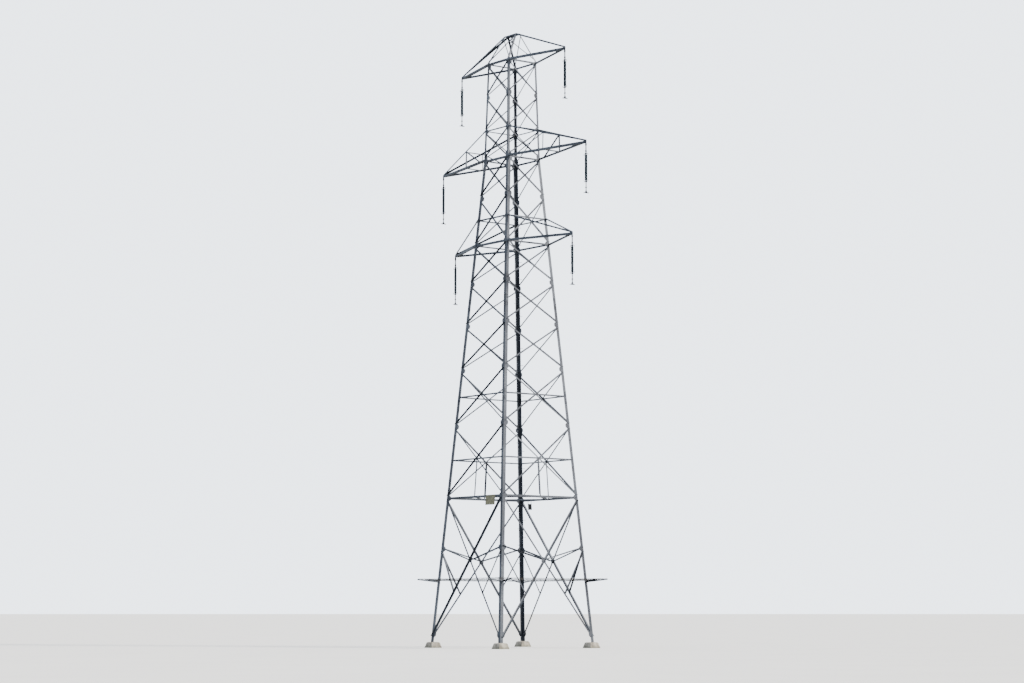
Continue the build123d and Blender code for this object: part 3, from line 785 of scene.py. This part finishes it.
def angle_bar(form, start, end, facing, width, thickness):
    """An angle bar, alone in its form: one flange turned to facing, the other standing behind."""
    across = facing.cross(end - start).normalized() * width / 2
    chain = [form.verts.new(spot) for spot in (start - across, start + across,
             start + across - facing * width)]
    drawn(form, [form.edges.new(pair) for pair in zip(chain[:-1], chain[1:])], end - start)
    form.normal_update()
    flanges = list(form.faces)
    if flanges[0].normal.dot(facing) < 0:
        bmesh.ops.reverse_faces(form, faces=flanges)
    bmesh.ops.solidify(form, geom=flanges, thickness=thickness)


def make_plan_bracing():
    """Four level bars that join the middles of the ring over the base, bolted on its flanges."""
    seat = BASE_HEIGHT - BASE_RING_WIDTH / 2 + BRACE
    reach = body_half(BASE_HEIGHT) - FLANGE - BRACE - BASE_RING_WIDTH / 2
    start = Vector((0, -reach, seat))
    end = Vector((reach, 0, seat))
    form = bmesh.new()
    angle_bar(form, start, end, DOWN, PLAN_BAR_WIDTH, BRACE)
    for first, last in ((start, end), (end, start)):
        spot = first + (last - first).normalized() * PLAN_BOLT + DOWN * BRACE
        bolt(form, bolt_16, spot, DOWN, 2 * BRACE)
    finish_piece("plan_bracing", on_all_sides(form))


def bent_plate(work, first, fold, last, thickness):
    """A plate of two leaves with a fold between them, laid on what it joins.

    Each of the three is a pair of points, and the plate's front is the side from which
    the pairs run anticlockwise.
    """
    rows = [[work.verts.new(spot) for spot in pair] for pair in (first, fold, last)]
    leaves = [work.faces.new((one[0], two[0], two[1], one[1])) for one, two in zip(rows[:-1], rows[1:])]
    bmesh.ops.reverse_faces(work, faces=leaves)
    bmesh.ops.solidify(work, geom=leaves, thickness=thickness)


def chord_line(span, low, high):
    """Where a front chord leaves the leg, its way out, its outward side and its tip.

    The lower chord is level, so its high is its low.
    """
    root = Vector((body_half(high), -body_half(high), high))
    tip = Vector((span + TIP_OVERHANG, 0, low if high == low else low + TIP_RISE))
    way = (tip - root).normalized()
    return root, way, Vector((way.y, -way.x, 0)).normalized(), tip


def root_plate(work, root, way, outward, half_height):
    """The bent plate and its bolts at the root of a chord, on the front flange of the leg."""
    levels = (root.z - half_height, root.z + half_height)
    leg_run = leg_width(root.z) - 2 * PLATE_EDGE
    leaf = [front_point(body_half(level) - leg_run, level, ROOT_PLATE) for level in levels]
    fold = [front_point(body_half(level), level, ROOT_PLATE) for level in levels]
    arm = [spot + way * ROOT_PLATE_REACH for spot in fold]
    bent_plate(work, leaf, fold, arm, ROOT_PLATE)
    for inwards in ROOT_LEG_BOLTS:
        if inwards < leg_run:
            spot = front_point(body_half(root.z) - inwards, root.z, ROOT_PLATE)
            bolt(work, bolt_20, spot, front_normal(root.z), ROOT_PLATE + FLANGE + BRACE)
    for out in ROOT_ARM_BOLTS:
        bolt(work, bolt_20, root + way * out + outward * ROOT_PLATE, outward, ROOT_PLATE + CHORD)


def arm_quarter(span, low, high):
    """Plates and bolts of the front right quarter of a pair of arms."""
    work = bmesh.new()
    root, way, outward, tip = chord_line(span, low, low)
    root_plate(work, root, way, outward, ROOT_PLATE_HALF)
    for back in TIP_LOWER_BOLTS:
        stamp(work, bolt_20["head"], tip - way * back, outward)
    if high:
        root, way, outward, tip = chord_line(span, low, high)
        root_plate(work, root, way, outward, UPPER_CHORD_WIDTH / 2)
        for back in TIP_UPPER_BOLTS:
            stamp(work, bolt_16["head"], tip - way * back, outward)
    return work


def ridge_quarter():
    """Plates and bolts where the front right leg of the peak starts, and where it meets the ridge."""
    work = bmesh.new()
    lean = Vector((RIDGE_HALF - PEAK_HALF, PEAK_HALF - RIDGE_GAP, RIDGE_HEIGHT - CAGE_TOP))
    heel = Vector((PEAK_HALF, -PEAK_HALF, CAGE_TOP))
    back = ALONG_X * -PLATE_EDGE
    edge = ALONG_X * (PLATE_EDGE - PEAK_LEG_WIDTH)
    outward = Vector((0, -lean.z, lean.y)).normalized()
    up = lean.normalized() * PEAK_PLATE_RISE
    raised = outward * ROOT_PLATE
    level = CAGE_TOP - PEAK_PLATE_DROP
    bottom = [front_point(body_half(level) - inwards, level, ROOT_PLATE)
              for inwards in (PLATE_EDGE, PEAK_LEG_WIDTH - PLATE_EDGE)]
    bent_plate(work, bottom, [heel + back + raised, heel + edge + raised],
               [heel + back + up + raised, heel + edge + up + raised], ROOT_PLATE)
    middle = (back + edge) / 2
    for share in PEAK_BOLT_SHARES:
        bolt(work, bolt_16, heel + middle + up * share + raised, outward, ROOT_PLATE + FLANGE)
    for below in CAGE_END_BOLTS:
        spot = front_point(PEAK_HALF - PEAK_LEG_WIDTH / 2, CAGE_TOP - below, ROOT_PLATE)
        bolt(work, bolt_16, spot, front_normal(CAGE_TOP), ROOT_PLATE + FLANGE)
    root = Vector((RIDGE_HALF, -RIDGE_GAP, RIDGE_HEIGHT - UPPER_CHORD_WIDTH / 2))
    for inwards in RIDGE_BOLTS:
        bolt(work, bolt_16, root - ALONG_X * inwards, -ALONG_Y, UPPER_CHORD)
    return work


def make_arm_joints():
    """The plates and bolts of all three pairs of arms and of the peak, mirrored to each corner."""
    top, middle, bottom = (sum(corner.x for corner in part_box("link_" + level + "_right")) / 2
                           for level in ("top", "middle", "bottom"))
    work = bmesh.new()
    for form in (arm_quarter(top, CAGE_LEVELS[-1], None),
                 arm_quarter(middle, WAIST_HEIGHT, CAGE_LEVELS[1]),
                 arm_quarter(bottom, LEVELS[5], crossing(LEVELS[5], LEVELS[6])),
                 ridge_quarter()):
        moved_in(work, form, *CORNERS)
    finish_piece("arm_joints", work)


def barb_form():
    """One barb: a coil round the strand with four points standing off it."""
    form = bmesh.new()
    round_bar(form, WIRE_WIDTH * 0.7, 6, DOWN * BARB_COIL / 2, UP * BARB_COIL)
    for index in range(4):
        way = Matrix.Rotation(index * math.pi / 2 + 0.4, 3, "Z") @ Vector((1, 0, BARB_LEAN))
        bmesh.ops.create_cone(form, cap_ends=True, segments=3, radius1=BARB_RADIUS,
                              radius2=BARB_RADIUS / 4, depth=BARB_REACH,
                              matrix=facing_place(way.normalized() * BARB_REACH / 2, way))
    return as_mesh("barb", form)


def make_barbed_wire():
    """Rings of barbed wire on the guard: two wires twisted together, with a barb every 75 mm."""
    low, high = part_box("guard_wires")
    half_width = WIRE_WIDTH / 2
    half_thickness = WIRE_THICKNESS / 2
    inner = high.x - half_width - (WIRE_RINGS - 1) * WIRE_PITCH
    fall = (high.z - low.z - WIRE_WIDTH) / (WIRE_RINGS - 1)
    barb = barb_form()
    work = bmesh.new()
    for index in range(WIRE_RINGS):
        reach = inner + index * WIRE_PITCH
        height = low.z + half_width + index * fall
        length = 2 * reach
        steps = int(length / WIRE_TWIST * WIRE_STEPS)
        strand = bmesh.new()
        end = [strand.verts.new((across * half_width, through * half_thickness, 0))
               for across, through in ((-1, -1), (1, -1), (1, 1), (-1, 1))]
        bmesh.ops.spin(strand, geom=[strand.faces.new(end)], cent=(0, 0, 0), axis=(0, 0, 1),
                       dvec=(0, 0, length / steps), angle=2 * math.pi * length / WIRE_TWIST,
                       steps=steps, use_merge=False)
        for number in range(int(length / BARB_PITCH)):
            stamp(strand, barb, UP * (number + 0.5) * BARB_PITCH, UP)
        for corner in strand.verts:
            share = corner.co.z / length
            corner.co.x += WIRE_SAG * 4 * share * (1 - share)
        laid = Matrix.Translation((-reach, -reach, height)) @ Matrix.Rotation(math.pi / 2, 4, "Y")
        moved_in(work, strand, *(turn @ laid for turn in SIDES.values()))
    piece = finish_piece("barbed_wire", work, "tower", "wire")
    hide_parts("guard_wires")


def make_feet():
    """Concrete muffs round the legs' feet: battered sides, rounded arrises, a top that sheds rain."""
    low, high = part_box("concrete_feet")
    middle_of_leg = leg_high.x - LEG_WIDTH / 2
    half = high.x - middle_of_leg
    form = bmesh.new()
    for corner in block(form, (2 * half, 2 * half, 1), (0, 0, 0)):
        if corner.co.z > 0:
            corner.co.xy *= FOOT_TAPER
            corner.co.z = leg_low.z - FOOT_CROWN
        else:
            corner.co.z = low.z
    form.normal_update()
    top = [face for face in form.faces if face.normal.z > 0.9]
    bmesh.ops.inset_region(form, faces=top, thickness=FOOT_LEDGE, depth=FOOT_CROWN)
    arrises = [edge for edge in form.edges if edge.calc_face_angle() > math.radians(30)
               and max(corner.co.z for corner in edge.verts) > low.z + 0.01]
    rounded(form, arrises, FOOT_ARRIS, 2)
    work = bmesh.new()
    at_leg = Vector((middle_of_leg, middle_of_leg, 0))
    moved_in(work, form, *(Matrix.Translation(corner @ at_leg) for corner in CORNERS))
    piece = finish_piece("cast_feet", work, "tower", "concrete", smooth=35)
    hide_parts("concrete_feet")


def shed_outline(reach, root):
    """One rubber shed from its upper root to its lower one: sloping top, thin rim, hollow back."""
    return [
        (ROD_RADIUS, root),
        (ROD_RADIUS + 0.007, root - 0.002),
        (reach - 0.005, root - 0.0075),
        (reach, root - 0.0115),
        (reach - 0.001, root - 0.0165),
        (reach - 0.008, root - 0.0155),
        (ROD_RADIUS, root - 0.0175),
    ]


def make_insulator(key):
    """A composite long rod: wide and narrow silicone sheds by turns on a glass-fibre rod."""
    low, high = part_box("insulator_" + key)
    centre = Vector(((low.x + high.x) / 2, (low.y + high.y) / 2, 0))
    count = int((high.z - low.z) / SHED_PITCH)
    top_shed = high.z - (high.z - low.z - count * SHED_PITCH) / 2
    outline = [(0, high.z), (ROD_RADIUS, high.z)]
    for index in range(count):
        outline.extend(shed_outline(SHED_REACH[index % 2], top_shed - index * SHED_PITCH))
    outline.extend([(ROD_RADIUS, low.z), (0, low.z)])
    work = bmesh.new()
    spun(work, outline, centre, ROUND_STEPS)
    piece = finish_piece("sheds_" + key, work, "string_" + key, "silicone_rubber", smooth=40)
    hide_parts("insulator_" + key)


def fork_form():
    """A forged fork over a pin along Y: a strap bent to a U with round ears, its pin and split pin."""
    form = bmesh.new()
    ear = CHEEK_WIDTH / 2
    inner = CHEEK_MIDDLE - CHEEK / 2
    outer = CHEEK_MIDDLE + CHEEK / 2
    straight = ear + FORK_DEPTH - FORK_BEND
    edge = [form.edges.new([form.verts.new((side, -inner, ear)) for side in (-ear, ear)])]
    edge = drawn(form, edge, DOWN * straight)
    edge = bent(form, edge, (0, FORK_BEND - inner, FORK_BEND - FORK_DEPTH), ALONG_X, math.pi / 2)
    edge = drawn(form, edge, ALONG_Y * 2 * (inner - FORK_BEND))
    edge = bent(form, edge, (0, inner - FORK_BEND, FORK_BEND - FORK_DEPTH), ALONG_X, math.pi / 2)
    drawn(form, edge, UP * straight)
    form.normal_update()
    strap = sorted(form.faces, key=lambda face: face.calc_center_median().z)
    if strap[0].normal.z < 0:
        bmesh.ops.reverse_faces(form, faces=strap)
    bmesh.ops.solidify(form, geom=strap, thickness=CHEEK)
    corners = [side for side in form.edges
               if min(end.co.z for end in side.verts) > ear - 0.001
               and abs(side.verts[0].co.y - side.verts[1].co.y) > CHEEK / 2]
    rounded(form, corners, ear * EAR_ROUND, 5)
    round_bar(form, PIN_RADIUS, 16, ALONG_Y * -outer, ALONG_Y * (2 * outer + PIN_END))
    round_bar(form, PIN_HEAD_RADIUS, 16, ALONG_Y * (-outer - PIN_HEAD), ALONG_Y * PIN_HEAD)
    foot = Vector(SPLIT_PIN_FOOT) + ALONG_Y * outer
    hairpin(form, SPLIT_PIN_RADIUS, 6, foot, SPLIT_PIN_RISE, steps=6)
    return form


def make_link(key):
    """The upper link: a fork over the arm's lug, and a flat eye turned a quarter below it."""
    low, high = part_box("link_" + key)
    pin = Vector(((low.x + high.x) / 2, (low.y + high.y) / 2, high.z - CHEEK_WIDTH / 2))
    work = bmesh.new()
    moved_in(work, fork_form(), Matrix.Translation(pin))
    eye = bmesh.new()
    bottom = pin.z - LINK_LENGTH - CHEEK_WIDTH / 2
    top = pin.z - FORK_DEPTH - CHEEK / 2
    block(eye, (EYE, CHEEK_WIDTH, top - bottom), (pin.x, pin.y, (top + bottom) / 2))
    corners = [side for side in eye.edges if max(end.co.z for end in side.verts) < bottom + 0.001
               and abs(side.verts[0].co.x - side.verts[1].co.x) > EYE / 2]
    rounded(eye, corners, CHEEK_WIDTH * EYE_ROUND, 6)
    moved_in(work, eye, Matrix())
    piece = finish_piece("forged_link_" + key, work, "link_" + key, "fittings_steel", smooth=35)
    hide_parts("link_" + key)


def horn_form(height, way):
    """An arcing horn: a round bar out from the fitting, bent towards the sheds, with a ball tip."""
    form = bmesh.new()
    ball_radius = HORN_RADIUS * 1.5
    reach = HORN_REACH - HORN_BEND - ball_radius
    ring = bar_end(form, HORN_RADIUS, 10, Vector((HORN_ROOT, 0, height)), ALONG_X)
    ring = drawn(form, ring, ALONG_X * (reach - HORN_ROOT))
    centre = Vector((reach, 0, height + way * HORN_BEND))
    ring = bent(form, ring, centre, (0, -way, 0), math.pi / 2, steps=5)
    ring = drawn(form, ring, UP * way * HORN_TIP)
    bmesh.ops.edgeloop_fill(form, edges=ring)
    ball = Matrix.Translation((reach + HORN_BEND, 0, height + way * (HORN_BEND + HORN_TIP + 0.002)))
    bmesh.ops.create_uvsphere(form, u_segments=10, v_segments=7, radius=ball_radius, matrix=ball)
    return form


def cap_outline(top, bottom, upper):
    """A pressed end fitting: a neck, a wide flange and the sleeve pressed on to the rod."""
    shares = ((0, 0), (0, CAP_NECK), (0.16, CAP_NECK), (0.22, CAP_SLEEVE), (0.36, CAP_SLEEVE),
              (0.40, CAP_FLANGE), (0.47, CAP_FLANGE), (0.51, CAP_SLEEVE), (0.90, CAP_SLEEVE),
              (1.0, ROD_RADIUS), (1.0, 0))
    if not upper:
        top, bottom = bottom, top
    return [(radius, top + (bottom - top) * share) for share, radius in shares]


def clamp_form(length, half_width):
    """A suspension clamp round a wire along Y: a boat with dropped ends, a keeper and two U-bolts."""
    form = bmesh.new()
    rim = form.verts.new((half_width, 0, 0))
    bmesh.ops.spin(form, geom=[rim], cent=(0, 0, 0), axis=(0, 1, 0), dvec=(0, 0, 0),
                   angle=math.pi, steps=8, use_merge=False)
    edges = list(form.edges)
    bmesh.ops.translate(form, verts=form.verts, vec=(0, -length / 2, -BOAT_DROP))
    bmesh.ops.scale(form, verts=form.verts, vec=(BOAT_LIP, 1, BOAT_LIP))
    # Each quarter of the boat: how far it rises, and how much wider it grows
    for rise, grow in ((BOAT_DROP, 1.0), (0, 1.25), (0, 1.0), (-BOAT_DROP, 0.8)):
        edges = drawn(form, edges, Vector((0, length / 4, rise)))
        bmesh.ops.scale(form, verts=corners_of(edges), vec=(grow, 1, grow))
    form.normal_update()
    bmesh.ops.solidify(form, geom=list(form.faces), thickness=BOAT_WALL)
    keeper = (half_width * 1.3, length * 0.42, KEEPER)
    rounded_block(form, keeper, UP * KEEPER_RISE, FORGED_EDGE)
    for along in (-length * 0.14, length * 0.14):
        foot = Vector((half_width * 0.8, along, U_BOLT_FOOT))
        hairpin(form, U_BOLT_RADIUS, 8, foot, U_BOLT_RISE, steps=8)
        saddle = (half_width * 2.2, SADDLE_LENGTH, SADDLE)
        rounded_block(form, saddle, Vector((0, along, -SADDLE_DROP)), SADDLE / 4)
        for side in (-1, 1):
            spot = Vector((side * foot.x, along, -SADDLE_DROP - SADDLE / 2))
            stamp(form, bolt_16["nut"], spot, DOWN)
    return form


def make_string_metal(key):
    """Everything of metal on a string: fork, end fittings, horns, strap, collar and clamp."""
    low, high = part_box("string_fittings_" + key)
    pin_x = sum(corner.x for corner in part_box("insulator_" + key)) / 2
    pin = Vector((pin_x, 0, high.z - CHEEK_WIDTH / 2))
    at_pin = Matrix.Translation(pin)
    cap_top = -FORK_DEPTH - CHEEK
    core_top = cap_top - CAP_LENGTH
    core_bottom = core_top - INSULATOR_LENGTH
    foot_bottom = core_bottom - CAP_LENGTH
    work = bmesh.new()
    moved_in(work, fork_form(), at_pin @ Matrix.Rotation(math.pi / 2, 4, "Z"))
    form = bmesh.new()
    spun(form, cap_outline(cap_top + CHEEK / 2, core_top - CAP_LAP, True), Vector(), 24)
    moved_in(work, form, at_pin)
    form = bmesh.new()
    spun(form, cap_outline(core_bottom + CAP_LAP, foot_bottom, False), Vector(), 24)
    strap = foot_bottom - STRAP_LENGTH / 2
    rounded_block(form, (EYE, STRAP_WIDTH, STRAP_LENGTH + STRAP_LAP), UP * strap, FORGED_EDGE)
    rounded_block(form, COLLAR, UP * (foot_bottom - COLLAR_DROP), 2 * FORGED_EDGE, segments=3)
    for down in STRAP_BOLTS:
        bolt(form, bolt_16, Vector((EYE / 2, 0, foot_bottom - down)), ALONG_X, EYE)
    boat = low.z - pin.z + CLAMP_RISE
    moved_in(form, clamp_form(CLAMP_LENGTH, CLAMP_HALF), Matrix.Translation(UP * boat))
    for side in (-1, 1):
        middle = Vector((side * CLAMP_CHEEK_MIDDLE, 0, boat + CLAMP_CHEEK_RISE))
        rounded_block(form, CLAMP_CHEEK, middle, 0.0025)
    outer = CLAMP_CHEEK_MIDDLE + CLAMP_CHEEK[0] / 2
    bolt(form, bolt_16, Vector((outer, 0, boat + CLAMP_BOLT_RISE)), ALONG_X, 2 * outer)
    moved_in(work, form, at_pin)
    for height, way in (((core_top + cap_top) / 2, -1), ((core_bottom + foot_bottom) / 2, 1)):
        moved_in(work, horn_form(height, way), at_pin, at_pin @ Matrix.Rotation(math.pi, 4, "Z"))
    piece = finish_piece("string_metal_" + key, work, "string_" + key, "fittings_steel", smooth=35)
    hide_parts("string_fittings_" + key)


def make_earth_clamp():
    """The small clamp under the ridge: fork, stem, and a boat for the earth wire."""
    pin_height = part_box("earth_wire_clamp")[1].z - CHEEK_WIDTH / 2
    form = fork_form()
    top = -FORK_DEPTH - CHEEK / 2
    rounded_block(form, (EYE, EARTH_STEM_WIDTH, top + EARTH_CLAMP_DROP),
                  UP * (top - EARTH_CLAMP_DROP) / 2, FORGED_EDGE)
    clamp = clamp_form(EARTH_CLAMP_LENGTH, EARTH_CLAMP_HALF)
    moved_in(form, clamp, Matrix.Translation(DOWN * EARTH_CLAMP_DROP))
    bmesh.ops.translate(form, verts=form.verts, vec=UP * pin_height)
    piece = finish_piece("forged_earth_clamp", form, "earth_clamp", "fittings_steel", smooth=35)
    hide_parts("earth_wire_clamp")


def make_plate_bolts():
    """Bolts that hold the two plates to the ring over the base."""
    work = bmesh.new()
    for node, facing, shares in (("plate_large", -ALONG_Y, (0.125, 0.375, 0.625, 0.875)),
                                 ("plate_small", ALONG_Y, (0.14, 0.86))):
        low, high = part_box(node)
        for share in shares:
            spot = Vector((low.x + (high.x - low.x) * share, 0, high.z - BARE_PLATE_BOLT_DROP))
            spot.y = facing.y * (body_half(spot.z) - FLANGE + BARE_PLATE)
            bolt(work, bolt_16, spot, facing, BRACE + BARE_PLATE)
    finish_piece("plate_bolts", work)


def make_floor():
    """The studio floor under the tower, wide enough to reach the horizon."""
    board = bmesh.new()
    bmesh.ops.create_circle(board, cap_ends=True, segments=64, radius=FLOOR_RADIUS)
    mesh = as_mesh("studio_floor", board)
    mesh.materials.append(studio_floor())
    new_object("studio_floor", mesh)


def make_light():
    """Soft daylight from all round before a bright backdrop, and a main light from the right rear."""
    world = bpy.data.worlds.new("soft_studio")
    world.use_nodes = True
    tree = world.node_tree
    tree.nodes.clear()
    seen = add(tree, "LightPath").outputs["Is Camera Ray"]
    strength = add(tree, "MapRange", {"To Min": SURROUND, "To Max": BACKDROP},
                   {"Value": seen}).outputs["Result"]
    surround = add(tree, "Background", {"Color": linear("#e9f1fb")}, {"Strength": strength})
    add(tree, "OutputWorld", None, {"Surface": surround.outputs["Background"]})
    bpy.context.scene.world = world
    lamp = bpy.data.lights.new("main_light", "SUN")
    lamp.energy = MAIN_LIGHT
    lamp.angle = MAIN_LIGHT_SPREAD
    lamp.color = linear("#fff3e2")[:3]
    light = new_object("main_light", lamp)
    light.rotation_euler = Vector(MAIN_LIGHT_FROM).to_track_quat("Z", "Y").to_euler()


def make_camera():
    """The photograph's standpoint, with a longer lens aimed at the middle of the tower."""
    low, high = cad_bounds
    spot = Vector((CAMERA_DISTANCE * math.sin(CAMERA_TURN),
                   -CAMERA_DISTANCE * math.cos(CAMERA_TURN), CAMERA_HEIGHT))
    up = math.atan2(high[2] - CAMERA_HEIGHT, CAMERA_DISTANCE)
    down = math.atan2(low[2] - CAMERA_HEIGHT, CAMERA_DISTANCE)
    aim = Vector((-spot.x, -spot.y, CAMERA_DISTANCE * math.tan((up + down) / 2)))
    lens = bpy.data.cameras.new("photo_camera")
    lens.lens = LENS_MM
    lens.clip_end = 4000
    camera = new_object("photo_camera", lens)
    camera.location = spot
    camera.rotation_euler = aim.to_track_quat("-Z", "Y").to_euler()
    bpy.context.scene.camera = camera


dress_solids()
bolt_16 = bolt_ends(BOLT_16)
bolt_20 = bolt_ends(BOLT_20)
for body_side in SIDES:
    make_bracing_bolts(body_side)
make_node_plates()
make_leg_splices()
make_step_bolts()
make_plan_bracing()
make_arm_joints()
make_barbed_wire()
make_feet()
for string_key in STRING_KEYS:
    make_link(string_key)
    make_insulator(string_key)
    make_string_metal(string_key)
make_earth_clamp()
make_plate_bolts()
make_floor()
make_light()
make_camera()
